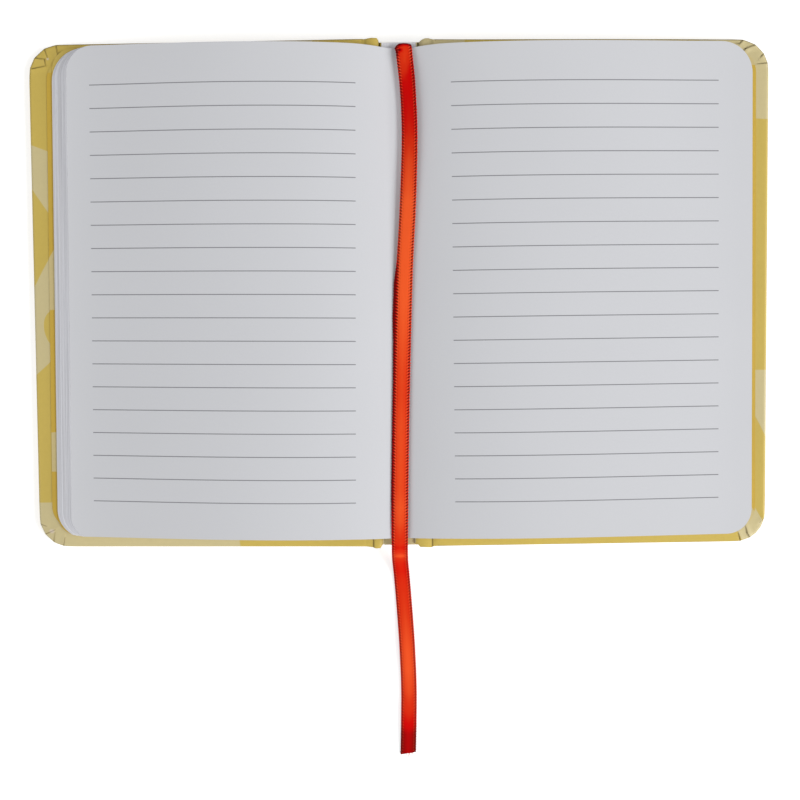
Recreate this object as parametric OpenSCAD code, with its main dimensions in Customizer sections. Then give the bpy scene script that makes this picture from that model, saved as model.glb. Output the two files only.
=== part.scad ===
// Case-bound notebook lying open at the middle, seen with its head along +Y.
// Its stiff joints hold the spine a little above the table, and its pages arch up from both covers.

/* [Pages] */
// Height of the pages, head to tail
page_h = 170.2; // [140:1:205]
// Reach of the lowest page from the joint line to the fore edge
page_reach = 115.2; // [95:0.1:145]
// How far the pages sit towards the head in their case
page_shift = 0.3; // [0:0.1:1]
// How much less far the lowest left page reaches, pulled in by the higher arch
left_short = 0.9; // [0:0.1:3]
// Turn of the left pages in their case, in degrees
left_turn = -0.55; // [-0.8:0.05:0.8]
// Turn of the right pages in their case, in degrees
right_turn = 0.3; // [-0.8:0.05:0.8]
// Radius of the page corners
page_r = 7.2; // [2:0.1:12]
// Thickness of the pages that lie on the left
left_pages = 2.8; // [1.5:0.1:3.2]
// Thickness of the pages that lie on the right
right_pages = 4.6; // [1.5:0.1:5]
// How far the left pages arch above the height at their fore edge
left_arch = 4.3; // [1:0.1:5]
// How far the right pages arch above the height at their fore edge
right_arch = 1.7; // [1:0.1:4]
// Distance of the left arch's crest from the joint line
left_crest = 45; // [30:1:60]
// Distance of the right arch's crest from the joint line
right_crest = 52; // [30:1:60]
// Slant of the left fore edge, between its lowest and its top page
left_slant = 6; // [0:0.1:8]
// Slant of the right fore edge
right_slant = 0.4; // [0:0.1:8]
// Glued thickness of the pages' back below the gutter
back_t = 0.8; // [0.5:0.1:1.5]
// Thickness of the lining glued over the pages' back
lining_t = 0.3; // [0.2:0.05:0.6]
// Distance of the lining from the spine's end at the head
lining_head = 0.2; // [0.2:0.1:4]
// Distance of the lining from the spine's end at the tail
lining_tail = 5; // [2:0.1:10]

/* [Case] */
// How far the covers stand past the pages at head and tail
square = 2.9; // [2:0.1:6]
// How far a cover stands past the lowest page at the fore edge
fore_square = 6.8; // [5:0.1:9]
// Radius of the cover corners
cover_r = 10.5; // [4:0.1:14]
// Thickness of a cover board
board_t = 2; // [1.5:0.1:3]
// Thickness of the cover paper
paper_t = 0.25; // [0.15:0.01:0.35]
// Width of the cover paper that is turned in round the boards
turn_in = 15; // [10:0.5:20]
// Width of the joint groove between the spine and a board
joint_w = 5.2; // [4:0.1:8]
// Width of the spine board
spine_w = 12.8; // [11:0.1:16]
// How far the spine's head end lies in from the covers' edge
spine_head = 1.2; // [0.5:0.1:1.6]
// How far its tail end lies in
spine_tail = 0.8; // [0.5:0.1:1.6]
// Thickness of the spine board
spine_board_t = 1.2; // [0.8:0.1:2]
// Height of the spine above the table
spine_lift = 5.5; // [0:0.1:8]
// Height of the pleats in the turned-in corners
pleat_t = 0.16; // [0.08:0.01:0.2]

/* [Endpapers] */
// Thickness of the endpaper
endpaper_t = 0.2; // [0.12:0.01:0.3]
// Margin of turned-in paper left round the endpaper on the front cover
front_margin = 5.7; // [3:0.1:6]
// Margin of turned-in paper left round the endpaper on the back cover
back_margin = 4.3; // [3:0.1:6]
// Radius of the pasted endpaper's corners
endpaper_r = 7.6; // [3:0.1:10]

/* [Ribbon] */
// Width of the ribbon marker
ribbon_w = 5.6; // [4:0.1:7]
// Thickness of the ribbon marker
ribbon_t = 0.3; // [0.2:0.05:0.4]

/* [Hidden] */
$fn = 64;
case_h = page_h + 2 * square;                           // height of the covers
cover_w = page_reach + fore_square;                     // from the joint line to a cover's fore edge
spine_h = case_h - spine_head - spine_tail;
spine_y = (spine_tail - spine_head) / 2;                // middle of the spine's height
fit_gap = 0.1;                                          // between papers that only lie on each other
leaf_gap = 0.05;                                        // between the two halves of an endpaper
page_gap = 0.15;                                        // between the lowest page and the endpaper under it
case_t = board_t + 2 * paper_t;                         // a cover through its turned-in paper
spine_t = spine_board_t + 2 * paper_t;                  // the spine through its turned-in paper
hinge_x = spine_w / 2 + 2 * paper_t + fit_gap;          // joint line, clear of the spine when a cover closes
sheet_u = paper_t + leaf_gap;                           // where a cover's paper starts, past the joint line
fold_u = spine_t + lining_t + 0.3;                      // the endpaper's fold, above the spine when closed
tilt = asin(spine_lift / cover_w);                      // slope of a cover from the joint to the table
page_floor = case_t + 2 * endpaper_t + leaf_gap + page_gap;
back_z = spine_lift + spine_t + lining_t;               // underside of the pages' back
back_w = spine_w - 1;                                   // width of the pages' back
gutter_z = back_z + back_t;                             // bottom of the gutter
shoulder_u = 0.8;                                       // where the pages' underside turns down to their back
lump_r = (case_t - fit_gap) / 2;                        // bunched paper at the ends of a joint
lump_out = 0.35;                                        // how far it stands out past the cover's edge
lump_u = fold_u;                                        // where it starts, above the spine when closed
pleat_angles = [8, 33, 57, 81];                         // pleats round a corner, from the fore edge
pleat_len = 3;
curve_steps = 14;                                       // points along each stretch of the page curve
over = 2;                                               // cutting overlap

// Centre line of the ribbon: up out of the spine at the head, down the gutter, over the tail edge
// and along the table. It lies clear of both page slopes.
ribbon_route = [
    [1.5, 85.7, 7.6], [1.5, 85.7, 9.1], [1.6, 85, 10.2], [2.1, 80, 10.7], [3, 70, 10.8], [3.5, 54, 10.7],
    [2.8, 32, 10.5], [1.7, 12, 10.2], [0.9, -9, 9.9], [0.1, -36, 9.8], [-0.5, -64, 9.8], [-0.8, -82, 9.8],
    [-0.9, -88, 9], [-0.9, -91.5, 6.4], [-0.8, -94.5, 3.2], [-0.4, -99, 0.9], [0.3, -108, 0.5],
    [1.3, -123, 1.1], [1.9, -139, 0.6], [1.8, -152, 0.9], [1.5, -164.3, 0.4]
];
ribbon_steps = 3;                                       // rings between two points of the route
ribbon_section = [[1, 0], [0.94, 1], [0, 1], [-0.94, 1], [-1, 0], [-0.94, -1], [0, -1], [0.94, -1]];

// A point of a cover's own frame, u along it from the joint and h above its outer face, as world x and z
function at(side, u, h) = [
    side * (hinge_x + u * cos(tilt) + h * sin(tilt)),
    spine_lift - u * sin(tilt) + h * cos(tilt)
];

function bezier(a, b, c, d, t) =
    pow(1 - t, 3) * a + 3 * pow(1 - t, 2) * t * b + 3 * (1 - t) * t * t * c + pow(t, 3) * d;

// The top of the pages on one side, from the gutter over the crest to past the fore edge
function page_curve(side, thick, arch, crest) = let (
    low = page_floor + thick,
    high = low + arch,
    gutter_u = (gutter_z - spine_lift) * -sin(tilt) - hinge_x * cos(tilt),
    gutter_h = (gutter_z - spine_lift) * cos(tilt) - hinge_x * sin(tilt),
    slope = page_reach - crest
) concat(
    [for (i = [1 : curve_steps]) bezier([gutter_u, gutter_h], [0, gutter_h + 0.3 * (high - gutter_h)],
        [0.33 * crest, high], [crest, high], i / curve_steps)],
    [for (i = [1 : curve_steps]) bezier([crest, high], [crest + 0.37 * slope, high],
        [page_reach - 0.3 * slope, low], [page_reach - 0.08 * slope, low], i / curve_steps)],
    [[page_reach + over, low]]
);

function placed(side, points) = [for (p = points) at(side, p[0], p[1])];
function reversed(list) = [for (i = [len(list) - 1 : -1 : 0]) list[i]];

module on_back_cover() {
    translate([hinge_x, 0, spine_lift]) rotate([0, tilt, 0]) children();
}

module on_front_cover() {
    mirror([1, 0, 0]) on_back_cover() children();
}

// A leaf from u0 to u1 with its two fore-edge corners rounded
module leaf(u0, u1, height, r) {
    translate([u0, -height / 2]) square([u1 - r - u0, height]);
    translate([u0, r - height / 2]) square([u1 - u0, height - 2 * r]);
    for (s = [-1, 1]) translate([u1 - r, s * (height / 2 - r)]) circle(r);
}

module board() {
    translate([0, 0, paper_t]) linear_extrude(board_t)
        leaf(joint_w, cover_w - paper_t, case_h - 2 * paper_t, cover_r - paper_t);
}

// Small folds where the paper is gathered round a rounded corner
module pleats() {
    for (s = [-1, 1], a = pleat_angles)
        translate([cover_w - cover_r, s * (case_h / 2 - cover_r), case_t - leaf_gap])
            rotate([0, 0, s * a]) translate([cover_r - pleat_len - paper_t, 0, 0])
                linear_extrude(pleat_t + leaf_gap) polygon([[0, 0], [pleat_len, -0.5], [pleat_len, 0.3]]);
}

// Bunched paper at the head and tail of a joint
module joint_lumps() {
    for (s = [-1, 1])
        translate([lump_u, s * (case_h / 2 + lump_out - lump_r), lump_r + fit_gap / 2])
            rotate([0, 90, 0]) cylinder(r = lump_r, h = joint_w - lump_u);
}

// One cover's share of the cover paper: outer sheet, edges wrapped round the board, turned-in margins
module cover_paper() {
    difference() {
        linear_extrude(case_t) leaf(sheet_u, cover_w, case_h, cover_r);
        translate([0, 0, paper_t]) linear_extrude(board_t)
            leaf(joint_w, cover_w - paper_t, case_h - 2 * paper_t, cover_r - paper_t);
        translate([joint_w - over, turn_in - case_h / 2, board_t])
            cube([cover_w - turn_in - joint_w + over, case_h - 2 * turn_in, case_t]);
        translate([-over, -case_h / 2 - over, 2 * paper_t])
            cube([joint_w + over, case_h + 2 * over, case_t]);
        translate([-over, turn_in - case_h / 2, paper_t])
            cube([joint_w + over, case_h - 2 * turn_in, case_t]);
    }
    joint_lumps();
    pleats();
}

// One half of an endpaper, turned as its pages are and straight along its fold
module endpaper_half(reach, height, r, turn) {
    difference() {
        linear_extrude(endpaper_t) rotate(turn) leaf(-hinge_x, reach, height, r);
        translate([fold_u - reach, -height, -over]) cube([reach, 2 * height, 2 * over + endpaper_t]);
    }
}

// A folded sheet: one half pasted on the board and its turned-in margins, the other lying free on it
module endpaper(margin, reach, turn) {
    translate([0, 0, case_t]) endpaper_half(cover_w - margin, case_h - 2 * margin, endpaper_r, turn);
    translate([joint_w, turn_in - case_h / 2, case_t - paper_t])
        cube([cover_w - turn_in - joint_w, case_h - 2 * turn_in, paper_t + endpaper_t / 2]);
    translate([0, page_shift, case_t + endpaper_t + leaf_gap]) endpaper_half(reach, page_h, page_r, turn);
    translate([fold_u, page_shift - page_h / 2, case_t + endpaper_t / 2])
        cube([endpaper_t, page_h, endpaper_t + leaf_gap]);
}

module spine_paper() {
    translate([0, spine_y, spine_lift]) difference() {
        union() {
            translate([-hinge_x, -spine_h / 2, 0]) cube([2 * hinge_x, spine_h, paper_t]);
            translate([-spine_w / 2, -spine_h / 2, 0]) cube([spine_w, spine_h, spine_t]);
        }
        translate([-spine_w / 2 - over, paper_t - spine_h / 2, paper_t])
            cube([spine_w + 2 * over, spine_h - 2 * paper_t, spine_board_t]);
        translate([-spine_w / 2 - over, turn_in - spine_h / 2, spine_board_t])
            cube([spine_w + 2 * over, spine_h - 2 * turn_in, spine_t]);
    }
}

// Plan of the pages on one cover: rounded corners, and a fore edge that slants back as it rises
module page_plan(lowest_reach, thick, slant, turn) {
    low_h = -4;
    high_h = 16;
    reach = lowest_reach + (page_floor - low_h) * slant / thick;
    rotate([0, 0, turn]) hull() {
        translate([0, 0, low_h]) linear_extrude(0.01) leaf(-hinge_x - 1, reach, page_h, page_r);
        translate([0, 0, high_h]) linear_extrude(0.01)
            leaf(-hinge_x - 1, reach - (high_h - low_h) * slant / thick, page_h, page_r);
    }
}

module page_block() {
    left_top = placed(-1, page_curve(-1, left_pages, left_arch, left_crest));
    right_top = placed(1, page_curve(1, right_pages, right_arch, right_crest));
    outline = concat(
        [[0, gutter_z]],
        right_top,
        [at(1, page_reach + over, page_floor), at(1, shoulder_u, page_floor)],
        [[back_w / 2, back_z], [-back_w / 2, back_z]],
        [at(-1, shoulder_u, page_floor), at(-1, page_reach + over, page_floor)],
        reversed(left_top)
    );
    translate([0, page_shift, 0]) intersection() {
        rotate([90, 0, 0]) linear_extrude(page_h, center = true) polygon(outline);
        union() {
            on_front_cover() page_plan(page_reach - left_short, left_pages, left_slant, -left_turn);
            on_back_cover() page_plan(page_reach, right_pages, right_slant, right_turn);
        }
    }
}

function along(p0, p1, p2, p3, t) = 0.5 * (2 * p1 + (p2 - p0) * t
    + (2 * p0 - 5 * p1 + 4 * p2 - p3) * t * t + (3 * p1 - p0 - 3 * p2 + p3) * t * t * t);
function unit(v) = v / norm(v);
function route_point(i) = ribbon_route[max(0, min(len(ribbon_route) - 1, i))];
ribbon_line = concat(
    [for (i = [0 : len(ribbon_route) - 2], k = [0 : ribbon_steps - 1])
        along(route_point(i - 1), route_point(i), route_point(i + 1), route_point(i + 2), k / ribbon_steps)],
    [route_point(len(ribbon_route) - 1)]
);
function heading(i) = unit(ribbon_line[min(i + 1, len(ribbon_line) - 1)] - ribbon_line[max(i - 1, 0)]);
function ribbon_ring(i) = let (
    t = heading(i),
    across = unit([1, 0, 0] - t[0] * t),
    up = cross(t, across)
) [for (p = ribbon_section) ribbon_line[i] + p[0] * ribbon_w / 2 * across + p[1] * ribbon_t / 2 * up];

module ribbon() {
    sides = len(ribbon_section);
    rings = len(ribbon_line);
    points = [for (i = [0 : rings - 1], p = ribbon_ring(i)) p];
    walls = [for (i = [0 : rings - 2], k = [0 : sides - 1], half = [0, 1]) let (
        a = i * sides + k,
        b = i * sides + (k + 1) % sides
    ) half == 0 ? [a, b, b + sides] : [a, b + sides, a + sides]];
    first_cap = [for (k = [sides - 1 : -1 : 0]) k];
    last_cap = [for (k = [0 : sides - 1]) (rings - 1) * sides + k];
    polyhedron(points, concat(walls, [first_cap, last_cap]));
}

module front_board() { color("burlywood") on_front_cover() board(); }
module back_board() { color("burlywood") on_back_cover() board(); }

module spine_board() {
    color("burlywood") translate([-spine_w / 2, spine_y + paper_t - spine_h / 2, spine_lift + paper_t])
        cube([spine_w, spine_h - 2 * paper_t, spine_board_t]);
}

module front_cover_paper() { color("khaki") on_front_cover() cover_paper(); }
module back_cover_paper() { color("khaki") on_back_cover() cover_paper(); }
module spine_cover_paper() { color("khaki") spine_paper(); }

module front_endpaper() {
    color("goldenrod") on_front_cover() endpaper(front_margin, page_reach - left_short, -left_turn);
}

module back_endpaper() {
    color("goldenrod") on_back_cover() endpaper(back_margin, page_reach, right_turn);
}

module spine_lining() {
    color("lightgray") translate([-back_w / 2, spine_y + lining_tail - spine_h / 2, spine_lift + spine_t])
        cube([back_w, spine_h - lining_head - lining_tail, lining_t]);
}

module pages() { color("whitesmoke") page_block(); }
module ribbon_marker() { color("orangered") ribbon(); }

front_board();
back_board();
spine_board();
front_cover_paper();
spine_cover_paper();
back_cover_paper();
front_endpaper();
back_endpaper();
spine_lining();
pages();  // page_block
ribbon_marker();
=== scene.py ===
import bmesh
import bpy
import math
import random
import numpy as np
from mathutils import Matrix, Vector


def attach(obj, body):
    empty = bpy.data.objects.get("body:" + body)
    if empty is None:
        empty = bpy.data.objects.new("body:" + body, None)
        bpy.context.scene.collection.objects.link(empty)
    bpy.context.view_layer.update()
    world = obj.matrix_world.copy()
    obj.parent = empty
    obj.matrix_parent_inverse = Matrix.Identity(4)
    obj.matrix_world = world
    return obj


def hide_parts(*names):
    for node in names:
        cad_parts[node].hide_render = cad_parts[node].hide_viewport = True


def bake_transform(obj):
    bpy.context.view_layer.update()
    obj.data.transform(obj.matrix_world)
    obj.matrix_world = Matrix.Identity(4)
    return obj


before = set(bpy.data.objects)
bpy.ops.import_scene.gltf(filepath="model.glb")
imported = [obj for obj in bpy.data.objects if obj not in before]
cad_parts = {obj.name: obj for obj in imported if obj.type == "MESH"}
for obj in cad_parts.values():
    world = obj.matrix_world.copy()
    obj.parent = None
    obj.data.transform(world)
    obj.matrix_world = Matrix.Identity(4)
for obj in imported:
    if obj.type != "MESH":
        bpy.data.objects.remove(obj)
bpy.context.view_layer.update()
scene = bpy.context.scene
mm = 0.001

# the photograph's view
view = dict(eye=(-0.21, -15.28, 420.0), tiltX=0.05132, tiltY=-0.0006, roll=0.00785, lens=53.25)
turn = (Matrix.Rotation(view["roll"], 3, "Z") @ Matrix.Rotation(view["tiltX"], 3, "X")
        @ Matrix.Rotation(view["tiltY"], 3, "Y"))
camData = bpy.data.cameras.new("photoView")
camData.lens = view["lens"]
camData.sensor_width = 36
camData.clip_start = 0.01
cam = bpy.data.objects.new("photoView", camData)
scene.collection.objects.link(cam)
cam.matrix_world = Matrix.Translation(Vector(view["eye"]) * mm) @ turn.transposed().to_4x4()
scene.camera = cam

# the notebook's sizes, in millimetres, as the model has them
case = dict(hinge=7.0, lift=5.5, coverW=122.0, height=176.0, cornerR=10.5, joint=5.2,
            turnIn=15.0, spineHalf=6.4, spineEnds=(-87.45, 86.8), spineT=1.7)
tilt = math.asin(case["lift"] / case["coverW"])
sinT, cosT = math.sin(tilt), math.cos(tilt)


def onCover(side, u, v, h):  # a point of a cover's own frame, u along it from the joint
    return (side * (case["hinge"] + u * cosT + h * sinT), v, case["lift"] - u * sinT + h * cosT)


# mesh helpers
def makePiece(name, points, faces, material, sharp=40, scale=mm):
    mesh = bpy.data.meshes.new(name)
    mesh.from_pydata([tuple(c * scale for c in p) for p in points], [], faces)
    mesh.validate()
    mesh.shade_smooth()
    mesh.set_sharp_from_angle(angle=math.radians(sharp))
    mesh.materials.append(material)
    obj = bpy.data.objects.new(name, mesh)
    scene.collection.objects.link(obj)
    return obj


def addUv(obj, name, pointUv):  # one value for each point
    mesh = obj.data
    layer = mesh.uv_layers.new(name=name)
    index = np.zeros(len(mesh.loops), dtype=np.int32)
    mesh.loops.foreach_get("vertex_index", index)
    layer.data.foreach_set("uv", np.asarray(pointUv, dtype=np.float32)[index].ravel())


def addTone(obj, name, values):
    layer = obj.data.attributes.new(name, "FLOAT", "POINT")
    layer.data.foreach_set("value", np.asarray(values, dtype=np.float32))


def loft(rings):  # faces between rings of point numbers, and across both ends
    count = len(rings[0])
    faces = [(a[k], a[(k + 1) % count], b[(k + 1) % count], b[k])
             for a, b in zip(rings, rings[1:]) for k in range(count)]
    return faces + [tuple(rings[0]), tuple(reversed(rings[-1]))]


def fixNormals(obj):
    bm = bmesh.new()
    bm.from_mesh(obj.data)
    bmesh.ops.recalc_face_normals(bm, faces=bm.faces)
    bm.to_mesh(obj.data)
    bm.free()


# node helpers
class Tree:
    def __init__(self, tree):
        self.tree = tree

    def add(self, kind, inputs=None, **settings):
        n = self.tree.nodes.new(kind)
        for key, value in settings.items():
            setattr(n, key, value)
        for key, value in (inputs or {}).items():
            if isinstance(value, bpy.types.NodeSocket):
                self.tree.links.new(value, n.inputs[key])
            else:
                n.inputs[key].default_value = value
        return n

    def math(self, operation, a, b=0.0, c=0.0):
        return self.add("ShaderNodeMath", {0: a, 1: b, 2: c}, operation=operation).outputs[0]

    def step(self, value, low, high):
        n = self.add("ShaderNodeMapRange", {"Value": value, "From Min": low, "From Max": high},
                     interpolation_type="SMOOTHSTEP")
        return n.outputs["Result"]

    def mix(self, factor, a, b):
        n = self.add("ShaderNodeMix", {0: factor, 6: a, 7: b}, data_type="RGBA")
        return n.outputs[2]

    def tint(self, color, tone):
        n = self.add("ShaderNodeMix", {0: 1.0, 6: color, 7: tone}, data_type="RGBA", blend_type="MULTIPLY")
        return n.outputs[2]

    def vector(self, operation, inputs):
        return self.add("ShaderNodeVectorMath", inputs, operation=operation).outputs

    def surface(self, shader, color, height, strength, depth):  # its colour and fine relief
        self.tree.links.new(color, shader.inputs["Base Color"])
        bump = self.add("ShaderNodeBump", {"Strength": strength, "Distance": depth, "Height": height})
        self.tree.links.new(bump.outputs[0], shader.inputs["Normal"])


def newGroup(name, ins, outs):
    group = bpy.data.node_groups.new(name, "ShaderNodeTree")
    for label, kind, value in ins:
        socket = group.interface.new_socket(name=label, in_out="INPUT", socket_type=kind)
        if value is not None:
            socket.default_value = value
    for label, kind in outs:
        group.interface.new_socket(name=label, in_out="OUTPUT", socket_type=kind)
    t = Tree(group)
    return group, t, t.add("NodeGroupInput").outputs, t.add("NodeGroupOutput").inputs


def useGroup(t, group, inputs):
    n = t.add("ShaderNodeGroup", node_tree=group)
    for key, value in inputs.items():
        if isinstance(value, bpy.types.NodeSocket):
            t.tree.links.new(value, n.inputs[key])
        else:
            n.inputs[key].default_value = value
    return n.outputs


def newMaterial(name, **shader):
    material = bpy.data.materials.new(name)
    material.use_nodes = True
    t = Tree(material.node_tree)
    principled = material.node_tree.nodes["Principled BSDF"]
    for key, value in shader.items():
        principled.inputs[key.replace("_", " ")].default_value = value
    return material, t, principled


# fibres and faint clouds of paper: used by every paper and board
paperGrain, t, gi, go = newGroup("paperGrain", [
    ("Vector", "NodeSocketVector", None), ("Fibre Scale", "NodeSocketFloat", 1.0),
    ("Fibre Amount", "NodeSocketFloat", 0.02), ("Cloud Amount", "NodeSocketFloat", 0.02)],
    [("Tone", "NodeSocketFloat"), ("Height", "NodeSocketFloat")])
fine = t.add("ShaderNodeTexNoise", {"Vector": gi["Vector"], "Scale": gi["Fibre Scale"], "Detail": 4.0,
                                    "Roughness": 0.7}).outputs[0]
cloud = t.add("ShaderNodeTexNoise", {"Vector": gi["Vector"], "Scale": 2.6, "Detail": 2.0}).outputs[0]
fineTone = t.math("MULTIPLY", t.math("SUBTRACT", fine, 0.5), gi["Fibre Amount"])
cloudTone = t.math("MULTIPLY", t.math("SUBTRACT", cloud, 0.5), gi["Cloud Amount"])
t.tree.links.new(t.math("ADD", t.math("ADD", fineTone, cloudTone), 1.0), go["Tone"])
t.tree.links.new(fine, go["Height"])

# threads of a woven cloth: used by the ribbon and the lining
threadWeave, t, gi, go = newGroup("threadWeave", [
    ("Vector", "NodeSocketVector", None), ("Warp", "NodeSocketFloat", 10.0),
    ("Weft", "NodeSocketFloat", 10.0)],
    [("Height", "NodeSocketFloat")])
parts = t.add("ShaderNodeSeparateXYZ", {0: gi["Vector"]}).outputs
warp = t.math("ABSOLUTE", t.math("SINE", t.math("MULTIPLY", parts[0], gi["Warp"])))
weft = t.math("ABSOLUTE", t.math("SINE", t.math("MULTIPLY", parts[1], gi["Weft"])))
t.tree.links.new(t.math("ADD", t.math("MULTIPLY", warp, 0.7), t.math("MULTIPLY", weft, 0.3)), go["Height"])

# materials
# the leaves' edges are lighter than the page: painted light that brightens the edges the lamps leave dim
pageLook = dict(white=(0.655, 0.662, 0.69, 1), rule=(0.16, 0.16, 0.175, 1), edge=(0.74, 0.745, 0.79, 1),
                pitch=8.0, rules=19, ruleHalf=0.16, inkCover=0.82, leafScale=(0.12, 13.0, 1.0),
                leafContrast=0.95)


def rulePaper(name, start, end, firstRule):  # ruled lines between two x positions, in millimetres
    material, t, shader = newMaterial(name, Roughness=0.85, Specular_IOR_Level=0.25)
    sheet = t.add("ShaderNodeUVMap", uv_map="sheet").outputs[0]
    grain = useGroup(t, paperGrain, {"Vector": sheet, "Fibre Scale": 130.0, "Fibre Amount": 0.035,
                                     "Cloud Amount": 0.03})
    x, y, _ = t.add("ShaderNodeSeparateXYZ", {0: sheet}).outputs
    x, y = t.math("MULTIPLY", x, 100.0), t.math("MULTIPLY", y, 100.0)
    row = t.math("DIVIDE", t.math("SUBTRACT", firstRule, y), pageLook["pitch"])
    away = t.math("ABSOLUTE", t.math("SUBTRACT", row, t.math("ROUND", row)))
    away = t.math("MULTIPLY", away, pageLook["pitch"])
    line = t.step(away, pageLook["ruleHalf"] + 0.05, pageLook["ruleHalf"] - 0.05)
    leaf = t.add("ShaderNodeUVMap", uv_map="leafEdge").outputs[0]
    _, depth, _ = t.add("ShaderNodeSeparateXYZ", {0: leaf}).outputs
    onEdge = t.math("GREATER_THAN", depth, -0.5)
    for limit in (t.math("GREATER_THAN", row, -0.5), t.math("LESS_THAN", row, pageLook["rules"] - 0.5),
                  t.math("GREATER_THAN", x, start), t.math("LESS_THAN", x, end),
                  t.math("SUBTRACT", 1.0, onEdge)):
        line = t.math("MULTIPLY", line, limit)
    ink = t.math("MULTIPLY", line, pageLook["inkCover"])
    # stripes along the leaves' edges: painted light and shade lines between the leaves
    stretched = t.add("ShaderNodeMapping", {0: leaf, "Scale": pageLook["leafScale"]}).outputs[0]
    leaves = t.add("ShaderNodeTexNoise", {"Vector": stretched, "Scale": 1.0, "Detail": 2.0,
                                          "Roughness": 0.6}).outputs[0]
    paintedLeafLines = t.math("MULTIPLY", t.math("SUBTRACT", leaves, 0.5), pageLook["leafContrast"])
    paintedLeafLines = t.math("ADD", paintedLeafLines, 1.0)
    edge = t.tint(pageLook["edge"], paintedLeafLines)
    color = t.mix(onEdge, pageLook["white"], edge)
    color = t.tint(color, grain["Tone"])
    color = t.mix(ink, color, pageLook["rule"])
    t.surface(shader, color, grain["Height"], 0.12, 0.0001)
    return material


leftPaper = rulePaper("ruledPaperLeft", -107.4, -15.4, 71.95)
rightPaper = rulePaper("ruledPaperRight", 18.1, 110.2, 72.1)

coverLook = dict(yellow=(0.625, 0.465, 0.10, 1), cream=(0.64, 0.545, 0.285, 1),
                 paintedShade=(0.11, 0.068, 0.014, 1), torn=(0.78, 0.66, 0.54, 1), blobDistort=1.3)
# pale patches of the print on the turned-in side, by their corners in millimetres
palePatches = [
    ((-131, 54.5), (-118, 49.5), (-118, 22), (-131, 41.2)),
    ((-131, 0.3), (-118, 23.9), (-118, -16.6), (-131, -29.3)),
    ((-131, -72), (-112, -72), (-112, -95), (-131, -95)),
    ((-113, -76), (-59, -76), (-56, -95), (-113, -95)),
    ((-51, 93), (-31, 93), (-29, 84), (-50, 84)),
    ((-6.8, -80), (4.6, -80), (4.6, -95), (-6.8, -95)),
    ((4, 93), (24, 93), (22, 84), (4, 84)),
    ((103, 93), (132, 93), (132, 60.4), (112, 60.4)),
    ((118, -27.1), (132, -27.1), (132, -55.5), (118, -31.4)),
    ((118, -65.6), (132, -86.2), (124, -95), (117.2, -80))]
# yellow spots that lie over them: x, y, half width, half height
yellowSpots = [(-121.6, -10.4, 4.0, 6.4), (-113.0, -71.5, 10.9, 12.2)]
endpaperLook = dict(gold=(0.62, 0.41, 0.045, 1), patchCover=0.8)
endpaperPatches = [
    ((-126, 10), (-117, 24), (-117, -4.2), (-126, -4.2)),
    ((-127, -47), (-117, -47), (-117, -61), (-127, -61)),
    ((117, -66), (126, -79), (126, -90), (117, -90)),
    ((104, 90), (128, 90), (128, 79), (104, 79))]
endpaperYellow = [((-128, 90), (-98, 90), (-98, 77), (-128, 79))]


def paleMask(t, vector, patches, spots):  # 1 inside the patches; the places are in millimetres
    flat = t.vector("SCALE", {0: vector, "Scale": 100.0})[0]
    wave = t.add("ShaderNodeTexNoise", {"Vector": vector, "Scale": 9.0, "Detail": 0.5}).outputs[1]
    shift = t.vector("SUBTRACT", {0: wave, 1: (0.5, 0.5, 0.5)})[0]
    shift = t.vector("SCALE", {0: shift, "Scale": coverLook["blobDistort"]})[0]
    bent = t.vector("MULTIPLY", {0: t.vector("ADD", {0: flat, 1: shift})[0], 1: (1, 1, 0)})[0]
    deepest = None
    for corners in patches:
        inside = None
        for k in range(4):
            (x0, y0), (x1, y1) = corners[k], corners[(k + 1) % 4]
            size = math.hypot(x1 - x0, y1 - y0)
            inward = ((y1 - y0) / size, (x0 - x1) / size)
            reach = t.vector("DOT_PRODUCT", {0: bent, 1: (*inward, 0)})[1]
            reach = t.math("SUBTRACT", reach, inward[0] * x0 + inward[1] * y0)
            inside = reach if inside is None else t.math("MINIMUM", inside, reach)
        deepest = inside if deepest is None else t.math("MAXIMUM", deepest, inside)
    mask = t.step(deepest, -0.15, 0.15)
    for x, y, halfW, halfH in spots:
        local = t.add("ShaderNodeMapping", {0: bent, "Location": (x, y, 0), "Scale": (halfW, halfH, 1)},
                      vector_type="TEXTURE").outputs[0]
        far = t.vector("LENGTH", {0: local})[1]
        mask = t.math("MULTIPLY", mask, t.step(far, 0.98, 1.02))
    return mask


coverPrint, t, gi, go = newGroup("coverPrint", [("Vector", "NodeSocketVector", None)],
                                 [("Pale", "NodeSocketFloat")])
inner = paleMask(t, gi["Vector"], palePatches, yellowSpots)
outerBlobs = t.add("ShaderNodeTexNoise", {"Vector": gi["Vector"], "Scale": 2.9, "Detail": 0.6}).outputs[0]
outer = t.step(outerBlobs, 0.54, 0.548)
px, _, _ = t.add("ShaderNodeSeparateXYZ", {0: gi["Vector"]}).outputs
isOuter = t.math("GREATER_THAN", px, 2.0)
t.tree.links.new(t.math("MAXIMUM", t.math("MULTIPLY", inner, t.math("SUBTRACT", 1.0, isOuter)),
                        t.math("MULTIPLY", outer, isOuter)), go["Pale"])


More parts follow.
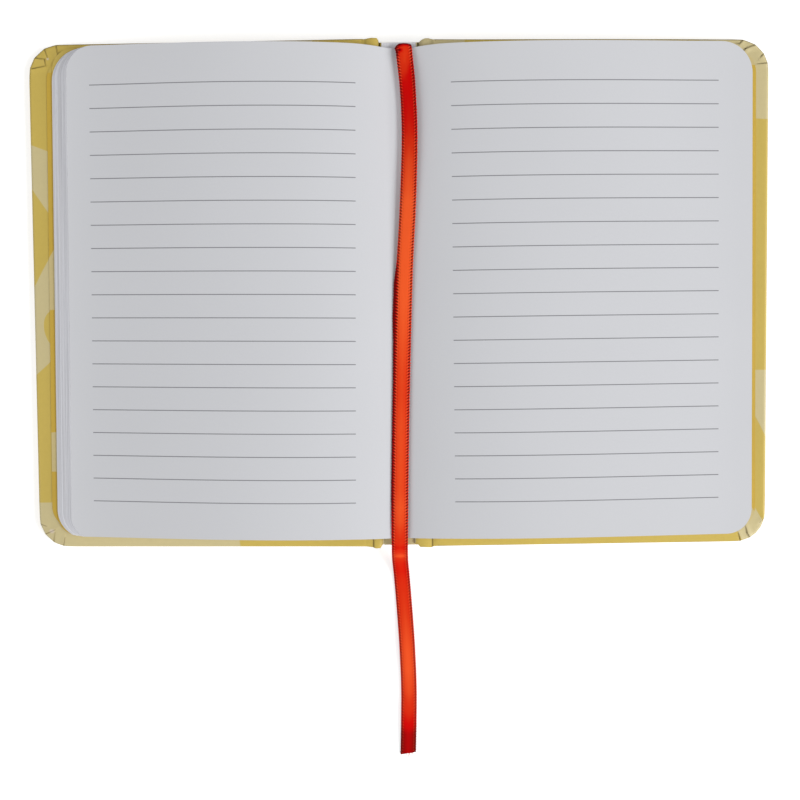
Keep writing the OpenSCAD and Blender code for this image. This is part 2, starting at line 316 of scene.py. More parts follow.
def printedPaper(name, roughness=0.42):
    material, t, shader = newMaterial(name, Roughness=roughness, Specular_IOR_Level=0.35)
    sheet = t.add("ShaderNodeUVMap", uv_map="sheet").outputs[0]
    pale = useGroup(t, coverPrint, {"Vector": sheet})["Pale"]
    grain = useGroup(t, paperGrain, {"Vector": sheet, "Fibre Scale": 60.0, "Fibre Amount": 0.10,
                                     "Cloud Amount": 0.10})
    paintedShade = t.add("ShaderNodeAttribute", attribute_name="paintedShade").outputs["Fac"]
    torn = t.add("ShaderNodeAttribute", attribute_name="torn").outputs["Fac"]
    color = t.mix(pale, coverLook["yellow"], coverLook["cream"])
    color = t.tint(color, grain["Tone"])
    color = t.mix(torn, color, coverLook["torn"])
    # painted shade: darker in the pleats' creases, along the rim, in the bunches and at the joints' head
    # ends
    color = t.mix(paintedShade, color, coverLook["paintedShade"])
    t.surface(shader, color, grain["Height"], 0.15, 0.0002)
    return material


coverPaper = printedPaper("coverPaper")


def plainPaper(name, color, roughness, fibre, clouds, scale, patches=None):
    material, t, shader = newMaterial(name, Roughness=roughness)
    where = t.add("ShaderNodeTexCoord").outputs["Object"]
    where = t.vector("SCALE", {0: where, "Scale": 10.0})[0]
    grain = useGroup(t, paperGrain, {"Vector": where, "Fibre Scale": scale, "Fibre Amount": fibre,
                                     "Cloud Amount": clouds})
    if patches:
        color = t.mix(paleMask(t, where, endpaperYellow, []), color, coverLook["yellow"])
        pale = t.math("MULTIPLY", paleMask(t, where, patches, []), endpaperLook["patchCover"])
        color = t.mix(pale, color, coverLook["cream"])
    t.surface(shader, t.tint(color, grain["Tone"]), grain["Height"], 0.2, 0.0002)
    return material


endpaperPaper = plainPaper("endpaperPaper", endpaperLook["gold"], 0.6, 0.12, 0.14, 70.0, endpaperPatches)
greyBoard = plainPaper("greyBoard", (0.30, 0.27, 0.22, 1), 0.9, 0.5, 0.2, 90.0)

liningCloth, t, shader = newMaterial("liningCloth", Roughness=0.9)
where = t.add("ShaderNodeTexCoord").outputs["Object"]
weave = useGroup(t, threadWeave, {"Vector": where, "Warp": 6000.0, "Weft": 6000.0})["Height"]
t.surface(shader, t.mix(weave, (0.78, 0.78, 0.82, 1), (0.92, 0.92, 0.95, 1)), weave, 0.3, 0.0001)

# satin with painted sheen and shade: orange where it would face the light, deep red where it would turn
# away, darker still in painted shade; tones are painted stops along its length
ribbonLook = dict(dark=(0.20, 0.0005, 0.001, 1), red=(0.70, 0.0012, 0.0006, 1), mid=(0.79, 0.030, 0.005, 1),
                  orange=(1.0, 0.12, 0.024, 1), stitch=(0.14, 0.0, 0.0, 1), picot=(1.0, 0.15, 0.06, 1),
                  stitchPitch=1.04, stitchSlant=1.6)
ribbonSatin, t, shader = newMaterial("ribbonSatin", Roughness=0.5, Specular_IOR_Level=0.05)
along = t.add("ShaderNodeUVMap", uv_map="ribbonCloth").outputs[0]
s, run, _ = t.add("ShaderNodeSeparateXYZ", {0: along}).outputs
paintedSheen = t.add("ShaderNodeAttribute", attribute_name="paintedSheen").outputs["Fac"]
satin = t.mix(t.step(paintedSheen, -0.6, 0.0), ribbonLook["dark"], ribbonLook["red"])
satin = t.mix(t.step(paintedSheen, 0.0, 0.5), satin, ribbonLook["mid"])
satin = t.mix(t.step(paintedSheen, 0.5, 1.0), satin, ribbonLook["orange"])
side = t.math("ABSOLUTE", s)
phase = t.math("ADD", run, t.math("MULTIPLY", side, ribbonLook["stitchSlant"]))
phase = t.math("FRACT", t.math("DIVIDE", phase, ribbonLook["stitchPitch"]))


# slanting marks of one phase, between two places across the half width
def stitchMarks(start, low, high, length):
    mark = t.step(t.math("ABSOLUTE", t.math("SUBTRACT", phase, start)), length, length - 0.14)
    soft = 0.03
    inside = t.math("MULTIPLY", t.step(side, low - soft, low + soft), t.step(side, high + soft, high - soft))
    return t.math("MULTIPLY", mark, inside)


# the picots show more where the painted sheen is bright
picotCover = t.math("ADD", 0.35, t.math("MULTIPLY", paintedSheen, 0.4))
for marks, cover, tone in ((stitchMarks(0.80, 0.62, 0.82, 0.27), picotCover, "picot"),
                           (stitchMarks(0.32, 0.70, 0.97, 0.36), 0.95, "stitch"),
                           (stitchMarks(0.30, 0.50, 0.62, 0.30), 0.30, "stitch")):
    satin = t.mix(t.math("MULTIPLY", marks, cover), satin, ribbonLook[tone])
weave = useGroup(t, threadWeave, {"Vector": along, "Warp": 70.0, "Weft": 12.0})["Height"]
t.surface(shader, satin, weave, 0.25, 0.00005)

looseThread, t, shader = newMaterial("looseThread", Roughness=0.7)
where = t.add("ShaderNodeTexCoord").outputs["Object"]
grain = useGroup(t, paperGrain, {"Vector": where, "Fibre Scale": 900.0, "Fibre Amount": 0.4,
                                 "Cloud Amount": 0.1})
t.tree.links.new(t.tint((0.62, 0.10, 0.02, 1), grain["Tone"]), shader.inputs["Base Color"])
print("materials ready")

# ribbon
ribbon = dict(width=5.6, thick=0.3, ringStep=0.475, cup=0.14, picot=0.1)
ribbonRoute = [
    (1.5, 85.7, 7.6), (1.5, 85.7, 9.1), (1.6, 85, 10.2), (2.1, 80, 10.7), (3, 70, 10.8), (3.5, 54, 10.7),
    (2.8, 32, 10.5), (1.7, 12, 10.2), (0.9, -9, 9.9), (0.1, -36, 9.8), (-0.5, -64, 9.8), (-0.8, -82, 9.8),
    (-0.9, -88, 9), (-0.9, -91.5, 6.4), (-0.8, -94.5, 3.2), (-0.4, -99, 0.9), (0.3, -108, 0.5),
    (1.3, -123, 1.1), (1.9, -139, 0.6), (1.8, -152, 0.9), (1.5, -164.3, 0.4)]
# y along the ribbon, and its painted sheen there; below zero it is painted shade
paintedRibbonSheen = [(-163, -0.39), (-157, -0.35), (-152, 0.1), (-147, 0.48), (-142, 0.66), (-134, 0.77),
               (-127, 0.75), (-121, 0.68), (-111, 0.55), (-106, 0.49), (-101, 0.28), (-98, 0.15),
               (-94.5, 0.2), (-92.8, 0.45), (-91.4, 0.78), (-90, 0.5), (-88.2, 0.12), (-86.5, 0.35),
               (-84.5, 0.5), (-79, 0.7), (-74, 0.76), (-68, 0.67), (-45, 0.68), (-35, 0.61), (-26, 0.65),
               (-16, 0.75), (-6, 0.85), (2, 0.92), (31, 0.92), (36, 0.78), (46, 0.65), (51, 0.5),
               (55.5, 0.2), (60, 0.07), (70, -0.08), (74.5, 0.02), (77, 0.35), (79.5, 0.55), (84.4, 0.5),
               (84.9, -0.1), (85.3, -0.6)]
# y along the ribbon, and its roll in degrees, the right edge up
ribbonRoll = [(-100, 0), (-60, 0), (0, 4), (32, 9), (50, 16), (66, 19), (78, 11), (84, 0)]
# y along the ribbon, and how far its left edge is curled down, in millimetres
ribbonCurl = [(-92, 0), (-86, 0.1), (-70, 0.4), (-30, 0.35), (-16, 0.6), (-8, 1.0), (4, 0.9), (12, 0.1),
              (20, 0)]


def smoothRoute(route, step):
    pts = [np.array(p, dtype=float) for p in route]
    line = []
    for i in range(len(pts) - 1):
        p0, p1, p2, p3 = pts[max(i - 1, 0)], pts[i], pts[i + 1], pts[min(i + 2, len(pts) - 1)]
        n = max(2, int(np.linalg.norm(p2 - p1) / step * 4))
        for k in range(n):
            f = k / n
            line.append(0.5 * (2 * p1 + (p2 - p0) * f + (2 * p0 - 5 * p1 + 4 * p2 - p3) * f * f
                               + (3 * p1 - p0 - 3 * p2 + p3) * f ** 3))
    line.append(pts[-1])
    line = np.array(line)
    run = np.concatenate([[0], np.cumsum(np.linalg.norm(np.diff(line, axis=0), axis=1))])
    count = int(run[-1] / step)
    spots = np.linspace(0, run[-1], count + 1)
    return np.stack([np.interp(spots, run, line[:, k]) for k in range(3)], axis=1), spots


def buildRibbon():
    line, run = smoothRoute(ribbonRoute, ribbon["ringStep"])
    heading = np.gradient(line, axis=0)
    heading /= np.linalg.norm(heading, axis=1)[:, None]
    across = np.array([1.0, 0, 0]) - heading * heading[:, :1]
    across /= np.linalg.norm(across, axis=1)[:, None]
    up = np.cross(heading, across)
    spots = [-1, -0.95, -0.82, -0.5, 0, 0.5, 0.82, 0.95, 1]
    section = [(s, 0.5) for s in spots] + [(s, -0.5) for s in reversed(spots)]
    points, uv, shine = [], [], []
    shineY, shineTone = zip(*paintedRibbonSheen)
    rollY, rollTurn = zip(*ribbonRoll)
    curlY, curlReach = zip(*ribbonCurl)
    last = len(line) - 1
    for i in range(len(line)):
        place = line[i][1]
        roll = math.radians(np.interp(place, rollY, rollTurn))
        curl = np.interp(place, curlY, curlReach)
        slantAhead = 4 * min(1, max(0, (place - 62) / 8))  # the shine turns slantwise near the head
        fold = min(1, max(0, (place - 83.4) / 1.6))  # how far it is on its way down behind the block's head
        wide = across[i] * math.cos(roll) + up[i] * math.sin(roll)
        high = up[i] * math.cos(roll) - across[i] * math.sin(roll)
        for s, h in section:
            reach = ribbon["width"] / 2 * s
            if abs(s) == 1:
                reach += ribbon["picot"] * s * (1 if i % 2 else -1)
                h *= 0.45
            lift = ribbon["thick"] * h - ribbon["cup"] * s * s
            ahead = -slantAhead * s if place < 84 else 0.5 * s * s
            tone = np.interp(place + ahead, shineY, shineTone)
            if s < -0.9:
                curled = curl * (1 if s == -1 else 0.4)
                reach -= curled
                lift -= 0.35 * curled
                # the curled-down left edge gets painted shade, darker the more it curls
                tone = tone * (1 - min(1, curl * 2.5)) - 0.45 * min(1, curl * 2.5)
            slant = (0.9 * s + 0.25 * math.sin(s * 9)) if i == last else 0.0  # the cut end
            p = line[i] + wide * reach + high * (lift + ribbon["cup"] * 0.4) + heading[i] * slant * -0.5
            droop = fold * (1.3 * s ** 4 if s < 0 else 0.45 * s ** 4)
            p -= np.array([0, droop, 0.5 * droop])
            points.append(tuple(p))
            uv.append((s, run[i]))
            # painted sheen, brighter across the middle and darker towards the edges
            shine.append(min(1, max(-0.6, tone + 0.10 * math.cos(s * 2.6) - 0.12 * abs(s) ** 3)))
    n = len(section)
    faces = loft([range(i * n, i * n + n) for i in range(len(line))])
    piece = makePiece("ribbon", points, faces, ribbonSatin, sharp=60)
    fixNormals(piece)
    addUv(piece, "ribbonCloth", uv)
    addTone(piece, "paintedSheen", shine)
    return piece, line, run[-1]


ribbonPiece, ribbonLine, ribbonLength = buildRibbon()


def buildThreads():  # frayed warp threads at the cut end
    rng = random.Random(11)
    points, faces = [], []
    end = ribbonLine[-1]
    starts = [(-2.4, 0.5), (-1.7, 0.9), (-0.6, 1.4), (0.3, 2.7), (0.5, 2.2), (1.5, 0.8), (2.2, 0.9)]
    for x0, length in starts:
        drift, curl = rng.uniform(-0.25, 0.25), rng.uniform(-0.3, 0.3)
        base = len(points)
        for k in range(7):
            f = k / 6
            x = end[0] + x0 + drift * f * length + curl * f * f
            y = end[1] + 0.25 - 0.45 * (x0 / 2.6) - length * f
            z = end[2] - 0.02 + 0.12 * math.sin(f * 3)
            r = 0.075 * (1 - 0.4 * f)
            points += [(x + r * math.cos(a), y, z + r * math.sin(a)) for a in (0, 1.57, 3.14, 4.71)]
        faces += loft([range(base + 4 * k, base + 4 * k + 4) for k in range(7)])
    piece = makePiece("ribbonThreads", points, faces, looseThread)
    fixNormals(piece)
    return piece


threads = buildThreads()
for piece in (ribbonPiece, threads):
    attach(piece, "spine")
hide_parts("ribbon_marker")
print("ribbon", round(ribbonLength, 1), "mm")

# pages
# corner: radius of the lowest and of the top leaf, and the angle at which the cut begins, head and tail
pages = {
    -1: dict(name="leftPages", body="front_cover", thick=2.8, arch=4.3, crest=45.0, slant=6.0, leaves=34,
             seed=3, reach=114.3, turn=0.55, corner={1: (11.4, 9.0, 0), -1: (10.2, 8.0, 27)}),
    1: dict(name="rightPages", body="back_cover", thick=4.6, arch=1.7, crest=52.0, slant=0.4, leaves=40,
            seed=8, reach=115.2, turn=0.3, corner={1: (10.8, 10.8, 0), -1: (8.8, 8.8, 0)})}
# hollow: how deep and how wide the head edge dips at the gutter; held: how far the leaves are held there
block = dict(height=170.2, reach=115.2, shift=0.3, floor=3.1, backZ=7.5, gutterZ=8.3, backHalf=5.9,
             shoulder=0.8, rows=26, hollow=((1.15, 8.5), (0.2, 30.0)), held=16, steep=12, middle=60)


def bezier(a, b, c, d, f):
    a, b, c, d = (np.array(p, dtype=float) for p in (a, b, c, d))
    return (1 - f) ** 3 * a + 3 * (1 - f) ** 2 * f * b + 3 * (1 - f) * f * f * c + f ** 3 * d


def pageProfiles(spec):
    low = block["floor"] + spec["thick"]
    high, crest, reach = low + spec["arch"], spec["crest"], block["reach"]
    dz = block["gutterZ"] - case["lift"]
    gutter = (-dz * sinT - case["hinge"] * cosT, dz * cosT - case["hinge"] * sinT)
    slope = reach - crest
    steps = [i / 60 for i in range(61)]
    rise = (0, gutter[1] + 0.3 * (high - gutter[1]))
    top = [bezier(gutter, rise, (0.33 * crest, high), (crest, high), f) for f in steps]
    top += [bezier((crest, high), (crest + 0.37 * slope, high), (reach - 0.3 * slope, low),
                   (reach - 0.08 * slope, low), f) for f in steps[1:]]
    top.append((reach + 2, low))
    topXz = np.array([onCover(1, u, 0, h) for u, h in top])[:, [0, 2]]
    under = [(0, block["backZ"]), (block["backHalf"], block["backZ"])]
    under += [(p[0], p[2]) for p in (onCover(1, block["shoulder"], 0, block["floor"]),
                                     onCover(1, reach + 2, 0, block["floor"]))]
    return topXz, np.array(under)


def buildPages(side):
    spec = pages[side]
    rng = random.Random(spec["seed"])
    top, under = pageProfiles(spec)
    rows, leaves = block["rows"], spec["leaves"]
    lean = math.sin(math.radians(spec["turn"]))

    def foreX(f):
        return onCover(1, spec["reach"] - spec["slant"] * f, 0, block["floor"] + spec["thick"] * f)[0]

    middle = block["middle"]
    straight = list(np.arange(0, block["steep"], 0.8)) + list(np.arange(block["steep"], middle, 2.4))
    beyond = list(np.linspace(0, 1, 26))
    corner = [math.radians(a) for a in range(6, 91, 6)]
    columns = len(straight) + len(beyond) + len(corner)

    def column(i, f, end):  # place of a column, half height there, outward direction
        lowest, top, cut = spec["corner"][end]
        radius, half, out = lowest + (top - lowest) * f, block["height"] / 2, (0, 1)
        cut = math.radians(cut)
        if i < len(straight):
            x = straight[i]
        elif i < len(straight) + len(beyond):
            x = middle + beyond[i - len(straight)] * (foreX(f) - radius * (1 - math.sin(cut)) - middle)
        else:
            a = cut + (1 - cut / (math.pi / 2)) * corner[i - len(straight) - len(beyond)]
            x = foreX(f) - radius + radius * math.sin(a)
            half += radius * (math.cos(a) - math.cos(cut))
            out = (math.sin(a), math.cos(a))
        if end > 0:
            half -= sum(depth * math.exp(-(x / wide) ** 2) for depth, wide in block["hollow"])
        return x, half, out

    def spot(i, row, f, push=0.0):
        c = row / (rows - 1) * 2 - 1
        head, tail = column(i, f, 1), column(i, f, -1)
        x = tail[0] + (head[0] - tail[0]) * (c + 1) / 2
        y = block["shift"] + (head[1] if c > 0 else tail[1]) * c
        if row in (0, rows - 1):
            out = head[2] if c > 0 else tail[2]
            x, y = x + out[0] * push, y + out[1] * push * (1 if c > 0 else -1)
        elif i == columns - 1:
            x += push
        free = min(1, x / block["held"]) ** 2  # beyond the gutter the leaves are turned a little
        printed = (side * x / 100, y / 100)
        x, y = x - lean * y * free, y + lean * x * free
        low = np.interp(x, under[:, 0], under[:, 1])
        z = low + (np.interp(x, top[:, 0], top[:, 1]) - low) * f
        far = min(1, max(0, (x - 14) / 30))
        z += f * far * (0.10 * math.sin(y * 0.045 + side) + 0.05 * math.sin(x * 0.09 + y * 0.021))
        return (side * x, y, z), printed

    points, flat, faces, leafUv = [], [], [], []

    def put(i, row, f, push=0.0):
        place, printed = spot(i, row, f, push)
        points.append(place)
        flat.append(printed)
        return len(points) - 1

    def grid(f):
        return [put(i, row, f) for i in range(columns) for row in range(rows)][0]

    topBase, underBase = grid(1.0), grid(0.0)
    for base, flip in ((topBase, side < 0), (underBase, side > 0)):
        for i in range(columns - 1):
            for row in range(rows - 1):
                a, b = base + i * rows + row, base + (i + 1) * rows + row
                q = [a, b, b + 1, a + 1]
                faces.append(tuple(reversed(q)) if flip else tuple(q))
                leafUv.append([(0, -1)] * 4)
    ring = [(i, rows - 1) for i in range(columns)] + [(columns - 1, r) for r in range(rows - 2, 0, -1)]
    ring += [(i, 0) for i in range(columns - 1, -1, -1)] + [(0, r) for r in range(1, rows - 1)]
    around = [spot(i, row, 1.0)[0] for i, row in ring]
    run = np.concatenate([[0], np.cumsum([math.dist(a, b) for a, b in zip(around[1:], around)])])
    layers = []
    for k in range(leaves + 1):
        if k in (0, leaves):
            base = underBase if k == 0 else topBase
            layers.append([base + i * rows + r for i, r in ring])
            continue
        push = rng.uniform(-0.14, 0.05) - (0.22 if k % 8 == 5 else 0)
        layers.append([put(i, r, k / leaves, 0 if i == 0 else push) for i, r in ring])
    for k in range(leaves):
        for j in range(len(ring)):
            n = (j + 1) % len(ring)
            q = [layers[k][j], layers[k][n], layers[k + 1][n], layers[k + 1][j]]
            faces.append(tuple(reversed(q)) if side > 0 else tuple(q))
            u0, u1 = run[j] / 10, (run[n] if n else run[-1]) / 10
            low, high = k / leaves, (k + 1) / leaves
            corners = [(u0, low), (u1, low), (u1, high), (u0, high)]
            leafUv.append(corners[::-1] if side > 0 else corners)
    piece = makePiece(spec["name"], points, faces, leftPaper if side < 0 else rightPaper, sharp=35)
    addUv(piece, "sheet", flat)
    layer = piece.data.uv_layers.new(name="leafEdge")
    layer.data.foreach_set("uv", np.array([c for f in leafUv for c in f], dtype=np.float32).ravel())
    fixNormals(piece)
    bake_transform(piece)
    return piece


leftPages, rightPages = buildPages(-1), buildPages(1)
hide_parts("page_block")
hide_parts("page_block")
print("pages ready")

# covers
# creases in the turned-in corners: angle and radius at both ends, from the fore edge to the head or tail
creases = {
    (-1, 1): [(35.6, 10.3, 49, 7.2), (62.5, 10.2, 58, 6.9), (86.5, 10.2, 90, 6.8), (90, 6.8, 83, 5.6),
              (14, 9.4, 33, 5.6), (49, 7.2, 36, 5.4)],
    (-1, -1): [(13, 10.3, 22, 8.4), (35.4, 10.4, 43, 6.4), (59, 10.5, 47.5, 7.1), (79, 10.5, 80, 7.3)],
    (1, 1): [(82.3, 10.4, 97.5, 7.8), (56.6, 10.3, 72, 7.6), (72, 7.6, 79, 6.5), (32.5, 10.2, 29.8, 8.6),
             (13, 10.2, 17, 6.6)],
    (1, -1): [(81.3, 10.4, 84, 7.5), (61.7, 10.5, 62, 8.3), (62, 8.3, 57, 6.1), (12, 10.4, 24, 9.2)]}
kinks = {(-1, 1): (14, 35.6, 62.5, 86.5), (-1, -1): (13, 35.4, 59, 79), (1, 1): (13, 32.5, 56.6, 82.3),
         (1, -1): (12, 30, 46, 61.7, 81.3)}
tornSpots = {(-1, -1): (39.5, 7.7, 0.9), (-1, 1): (57, 6.6, 0.45)}
plate = dict(edgeStep=4.0, cornerStep=1.5, middleH=1.2, foldReach=3.5, foldHeight=0.26, foldWidth=1.3,
             dipDepth=0.10, dipWidth=0.5, creaseWidth=0.17)
# section of a cover's edge: distance in from the edge, and height
edgeRound = [(6.5, 0.0), (2.0, 0.0), (1.0, 0.0), (0.55, 0.06), (0.22, 0.24), (0.05, 0.55), (0.0, 0.9),
             (0.0, 1.6), (0.05, 1.95), (0.22, 2.26), (0.55, 2.44), (0.9, 2.5)]
edgeRound += [(0.9 + 0.3 * k, 2.5) for k in range(1, 20)] + [(9.0, 2.5), (14.9, 2.5), (15.0, 2.25)]


def cornerPoint(side, end, angle, radius):
    u = case["coverW"] - case["cornerR"] + radius * math.cos(math.radians(angle))
    v = case["height"] / 2 - case["cornerR"] + radius * math.sin(math.radians(angle))
    return np.array([u, end * v])


def cornerRadius(side, end, angle):  # the paper runs straight from pleat to pleat
    stops = [-4] + list(kinks[(side, end)]) + [94]
    for a, b in zip(stops, stops[1:]):
        if a <= angle <= b:
            half = math.radians((b - a) / 2)
            chord = math.cos(half) / math.cos(math.radians(angle - (a + b) / 2))
            return case["cornerR"] * (0.15 + 0.85 * chord)
    return case["cornerR"]


def coverOutline(side):
    w, half, r = case["coverW"], case["height"] / 2, case["cornerR"]
    us = list(np.arange(case["joint"], w - r, plate["edgeStep"]))
    outline = [("edge", 1, u) for u in us]
    outline += [("corner", 1, a) for a in np.arange(90, -0.1, -plate["cornerStep"])]
    outline += [("fore", 0, v) for v in np.arange(half - r - 3, -(half - r), -plate["edgeStep"])]
    outline += [("corner", -1, a) for a in np.arange(0, 90.1, plate["cornerStep"])]
    outline += [("edge", -1, u) for u in reversed(us)]
    outline += [("joint", 0, v) for v in np.arange(-half + 3, half - 2, plate["edgeStep"])]
    return outline


def foldRelief(side, u, v):  # height, and darkness of painted shade, that the pleats give a point
    height = dark = 0.0
    for end in (1, -1):
        for a0, r0, a1, r1 in creases[(side, end)]:
            p, q = cornerPoint(side, end, a0, r0), cornerPoint(side, end, a1, r1)
            d = q - p
            f = min(1.0, max(0.0, float(np.dot((u, v) - p, d) / np.dot(d, d))))
            away = (u, v) - (p + d * f)
            gap = float(np.hypot(*away))
            if gap < plate["foldReach"]:
                cross = (d[0] * away[1] - d[1] * away[0]) * end
                fade = 1 - 0.5 * f
                if cross > 0:
                    height += plate["foldHeight"] * fade * math.exp(-(gap / plate["foldWidth"]) ** 2)
                else:
                    height -= plate["dipDepth"] * fade * math.exp(-(gap / plate["dipWidth"]) ** 2)
                # a thin line of painted shade along each crease
                dark = max(dark, fade * math.exp(-(gap / plate["creaseWidth"]) ** 2))
    return height, dark


# cover paper over a joint: one and two layers, rounding of its rim, steps across, shade at the head end
jointPaper = dict(one=0.27, two=0.52, rim=0.2, shade=0.7,
                  steps=(-0.62, -0.3, 0.0, 0.4, 0.9, 1.6, 2.4, 3.4, 4.4, 5.0, 5.9))
# bunched paper at both ends of a joint: u, outer v, inner v, low, high, painted shade in the crease there
bunches = {
    (-1, 1): [(-0.3, 86.7, 84.2, 0.5, 1.0, 0.9), (-0.1, 87.5, 84.0, 0.25, 2.0, 0.2),
              (0.4, 88.3, 84.0, 0.1, 2.45, 0), (2.2, 88.4, 84.0, 0.05, 2.6, 0),
              (3.6, 88.2, 84.0, 0.05, 2.6, 0.1), (4.4, 88.0, 84.0, 0.05, 2.55, 0.3),
              (5.0, 88.0, 84.0, 0.1, 2.5, 0.0), (6.2, 87.9, 84.2, 0.3, 2.4, 0)],
    (1, 1): [(-0.3, 86.7, 84.2, 0.3, 0.9, 0.8), (0.0, 86.9, 84.0, 0.15, 1.8, 0.2),
             (0.9, 87.6, 84.0, 0.08, 2.5, 0), (1.9, 88.05, 84.0, 0.05, 2.6, 0),
             (3.2, 88.1, 84.0, 0.05, 2.6, 0), (4.4, 87.8, 84.0, 0.05, 2.5, 0.25),
             (5.2, 87.7, 84.0, 0.1, 2.5, 0.0), (6.4, 87.65, 84.2, 0.3, 2.4, 0)],
    (-1, -1): [(-0.8, 87.1, 84.2, 0.3, 1.9, 0.0), (0.0, 87.5, 84.0, 0.2, 2.1, 0.1),
               (0.4, 88.3, 84.0, 0.1, 2.3, 0), (0.8, 88.7, 84.0, 0.05, 2.5, 0),
               (2.4, 88.75, 84.0, 0.05, 2.6, 0), (3.1, 88.4, 84.0, 0.05, 2.4, 0.9),
               (3.4, 88.3, 84.0, 0.05, 2.55, 0.1), (6.2, 87.95, 84.2, 0.3, 2.45, 0)],
    (1, -1): [(-3.3, 87.0, 84.2, 0.4, 1.7, 0.0), (-2.9, 87.0, 84.0, 0.3, 1.9, 0.8),
              (-2.4, 87.05, 84.0, 0.2, 2.1, 0.1), (-1.6, 87.3, 84.0, 0.1, 2.4, 0),
              (-0.8, 88.3, 84.0, 0.05, 2.6, 0), (3.0, 88.5, 84.0, 0.05, 2.6, 0),
              (3.5, 88.3, 84.0, 0.05, 2.4, 0.9), (3.9, 88.15, 84.0, 0.05, 2.55, 0.1),
              (6.4, 87.95, 84.2, 0.3, 2.45, 0)]}
bunchSides, bunchPower = 16, 0.62  # points around a bunch, and how square its section is


def buildCover(side):
    outline, half = coverOutline(side), case["height"] / 2
    points, uv, paintedShade, torn = [], [], [], []

    def put(u, v, h, outerTop, dark=0.0, tear=0.0):  # below outerTop the outer side's print shows
        points.append(onCover(side, u, v, h))
        x = side * (case["hinge"] + u)
        uv.append((x / 100 + (0 if h > outerTop else 6), v / 100))
        paintedShade.append(dark)
        torn.append(tear)
        return len(points) - 1

    rings = []
    for d, h in edgeRound:
        ring = []
        for kind, end, value in outline:
            if kind == "corner":
                u, v = cornerPoint(side, end, value, cornerRadius(side, end, value) - d)
            elif kind == "edge":
                dip = 0.3 * math.exp(-((value - 5) / 45) ** 2) if (side, end) == (1, 1) else 0.0
                u, v = max(value, case["joint"] + d), end * (half - d - dip)
            elif kind == "fore":
                u, v = case["coverW"] - d, value
            else:
                u, v = case["joint"] + d, min(half - d, max(d - half, value))
            lift = dark = tear = 0.0
            if 1.5 < h and d < 8 and u > 105 and abs(v) > 70:
                lift, dark = foldRelief(side, u, v)
                lift *= min(1, d / 0.5) if d < 0.5 else 1
                spot = tornSpots.get((side, 1 if v > 0 else -1))
                if spot:
                    c = cornerPoint(side, 1 if v > 0 else -1, spot[0], spot[1])
                    gap = math.hypot((u - c[0]) * 0.8, v - c[1])
                    tear = max(0.0, 1 - (gap / spot[2]) ** 2)
            if h > 1.9 and d < 0.3:  # painted shade along the rim, darker at the head end
                dark = max(dark, 0.65 if end == 1 else 0.15)
            if kind == "edge" and 1.0 < h < 2.5 and d < 1:
                lift += 0.04 * math.sin(value * 0.21 + side)
            ring.append(put(u, v, h + lift, plate["middleH"], dark, tear))
        rings.append(ring)
    faces = loft(rings)

    # cover paper over the joint, thicker where it is turned in at head and tail
    turned, strip = half - case["turnIn"], []
    one, two, rim = jointPaper["one"], jointPaper["two"], jointPaper["rim"]
    for u in jointPaper["steps"]:
        end = half - 0.15 - 0.85 * min(1, max(0, (0.9 - u) / 0.9))
        section = [(rim - end, 0.0), (end - rim, 0.0), (end, 0.12), (end, 0.4), (end - rim, two),
                   (turned + rim, two), (turned, one), (-turned, one), (-turned - rim, two),
                   (rim - end, two), (-end, 0.4), (-end, 0.12)]
        strip.append([put(u, v, h, 0.2, jointPaper["shade"] if v > 84 and u < 1 else 0.0)
                      for v, h in section])
    faces += loft(strip)

    for end in (1, -1):
        tube = []
        for u, outV, inV, low, high, dark in bunches[(side, end)]:
            ring = []
            for k in range(bunchSides):
                a = math.tau * k / bunchSides
                c, s = (abs(w) ** bunchPower * math.copysign(1, w) for w in (math.cos(a), math.sin(a)))
                v = end * ((outV + inV) / 2 + (outV - inV) / 2 * c)
                h = (low + high) / 2 + (high - low) / 2 * s
                ring.append(put(u, v, h, 0.6, dark))
            tube.append(ring)
        faces += loft(tube)

    name = "frontCover" if side < 0 else "backCover"
    piece = makePiece(name, points, faces, coverPaper, sharp=50)
    addUv(piece, "sheet", uv)
    addTone(piece, "paintedShade", paintedShade)
    addTone(piece, "torn", torn)
    fixNormals(piece)
    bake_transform(piece)
    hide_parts("front_cover_paper" if side < 0 else "back_cover_paper",
                "front_board" if side < 0 else "back_board")


buildCover(-1)
buildCover(1)
print("covers ready")


# spine
def buildSpine():
    points, uv = [], []
    halfX, low, t = case["spineHalf"], case["lift"], case["spineT"]
    tail, head = case["spineEnds"]
    loop = []
    for cx, cz, start in ((1, 0, -90), (1, 1, 0), (-1, 1, 90), (-1, 0, 180)):
        for a in range(0, 91, 18):
            r = 0.35
            ang = math.radians(start + a)
            z = low + (t - r if cz else r) + r * math.sin(ang)
            loop.append((cx * (halfX - r) + r * math.cos(ang), z))
    ends = [(0.0, 0.55), (0.05, 0.25), (0.25, 0.08), (0.7, 0.0)]  # distance from an end, how rounded there
    rows = [(tail + d, s) for d, s in ends] + [(y, 0.0) for y in np.arange(tail + 6, head - 5, 8)]
    rows += [(head - d, s) for d, s in reversed(ends)]
    rings = []
    for y, shrink in rows:
        ring = []
        for x, z in loop:
            mid = low + t / 2
            zz = mid + (z - mid) * (1 - shrink)
            xx = x * (1 - shrink * 0.03)
            points.append((xx, y, zz))
            uv.append((xx / 100 + (0 if z > mid else 6), y / 100))
            ring.append(len(points) - 1)
        rings.append(ring)
    piece = makePiece("spineCover", points, loft(rings), coverPaper, sharp=50)
    addUv(piece, "sheet", uv)
    addTone(piece, "paintedShade", [0.0] * len(points))
    addTone(piece, "torn", [0.0] * len(points))
    fixNormals(piece)
    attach(piece, "spine")
    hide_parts("spine_cover_paper", "spine_board")


buildSpine()
print("spine ready")

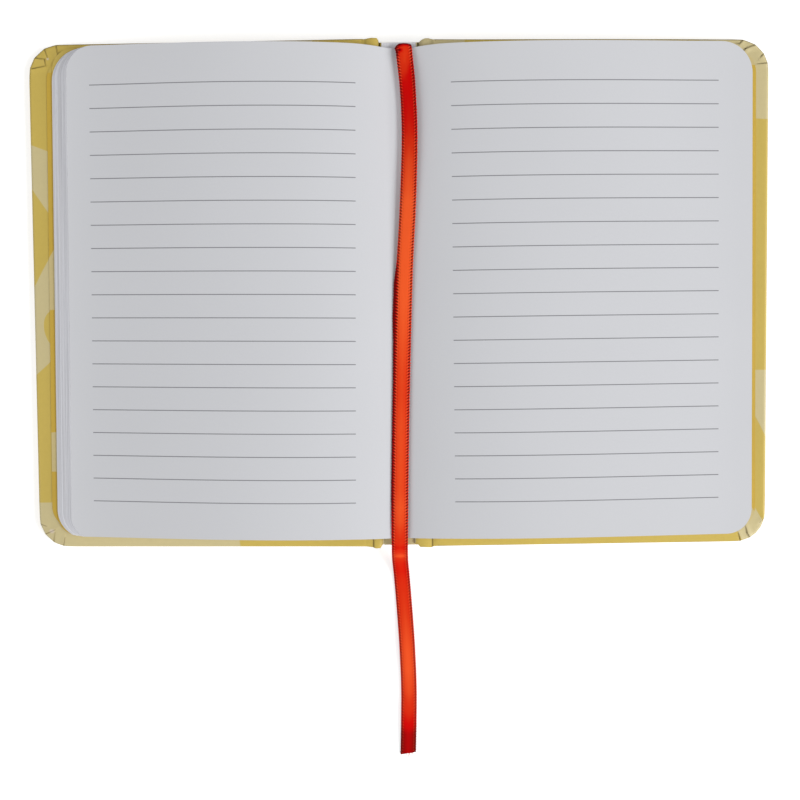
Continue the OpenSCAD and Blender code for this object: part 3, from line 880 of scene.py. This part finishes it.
for node, material in (("front_endpaper", endpaperPaper), ("back_endpaper", endpaperPaper),
                       ("spine_lining", liningCloth), ("front_board", greyBoard), ("back_board", greyBoard),
                       ("spine_board", greyBoard)):
    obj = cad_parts[node]
    for slot in obj.material_slots:
        slot.material = material
    if not obj.material_slots:
        obj.data.materials.append(material)

# floor and light
studio = dict(floor=(0.86, 0.86, 0.86, 1), floorLift=0.50, sky=0.35, key=107.0, fill=31.0)
floorMesh = bpy.data.meshes.new("floor")
floorMesh.from_pydata([(x * 3, y * 3, -0.0002) for x, y in ((-1, -1), (1, -1), (1, 1), (-1, 1))], [],
                      [(0, 1, 2, 3)])
floor = bpy.data.objects.new("floor", floorMesh)
scene.collection.objects.link(floor)
floorPaint = bpy.data.materials.new("floorPaint")
floorPaint.use_nodes = True
t = Tree(floorPaint.node_tree)
t.tree.nodes.clear()
diffuse = t.add("ShaderNodeBsdfDiffuse", {"Color": studio["floor"]}).outputs[0]
glow = t.add("ShaderNodeEmission", {"Color": (1, 1, 1, 1), "Strength": studio["floorLift"]}).outputs[0]
both = t.add("ShaderNodeAddShader", {0: diffuse, 1: glow}).outputs[0]
seen = t.add("ShaderNodeLightPath").outputs["Is Camera Ray"]
mixed = t.add("ShaderNodeMixShader", {0: seen, 1: diffuse, 2: both}).outputs[0]
t.add("ShaderNodeOutputMaterial", {"Surface": mixed})
floorMesh.materials.append(floorPaint)

world = bpy.data.worlds.new("studio")
world.use_nodes = True
scene.world = world
world.node_tree.nodes["Background"].inputs[0].default_value = (1, 1, 1, 1)
world.node_tree.nodes["Background"].inputs[1].default_value = studio["sky"]


def softBox(name, place, size, power):
    light = bpy.data.lights.new(name, "AREA")
    light.shape = "SQUARE"
    light.size = size
    light.energy = power
    lamp = bpy.data.objects.new(name, light)
    scene.collection.objects.link(lamp)
    lamp.location = place
    lamp.rotation_euler = (-Vector(place)).to_track_quat("-Z", "Y").to_euler()


softBox("keyLight", (2.8, -0.75, 1.6), 2.2, studio["key"])
softBox("fillLight", (-2.4, -0.9, 1.7), 2.2, studio["fill"])
scene.view_settings.view_transform = "Standard"
print("floor and light ready")
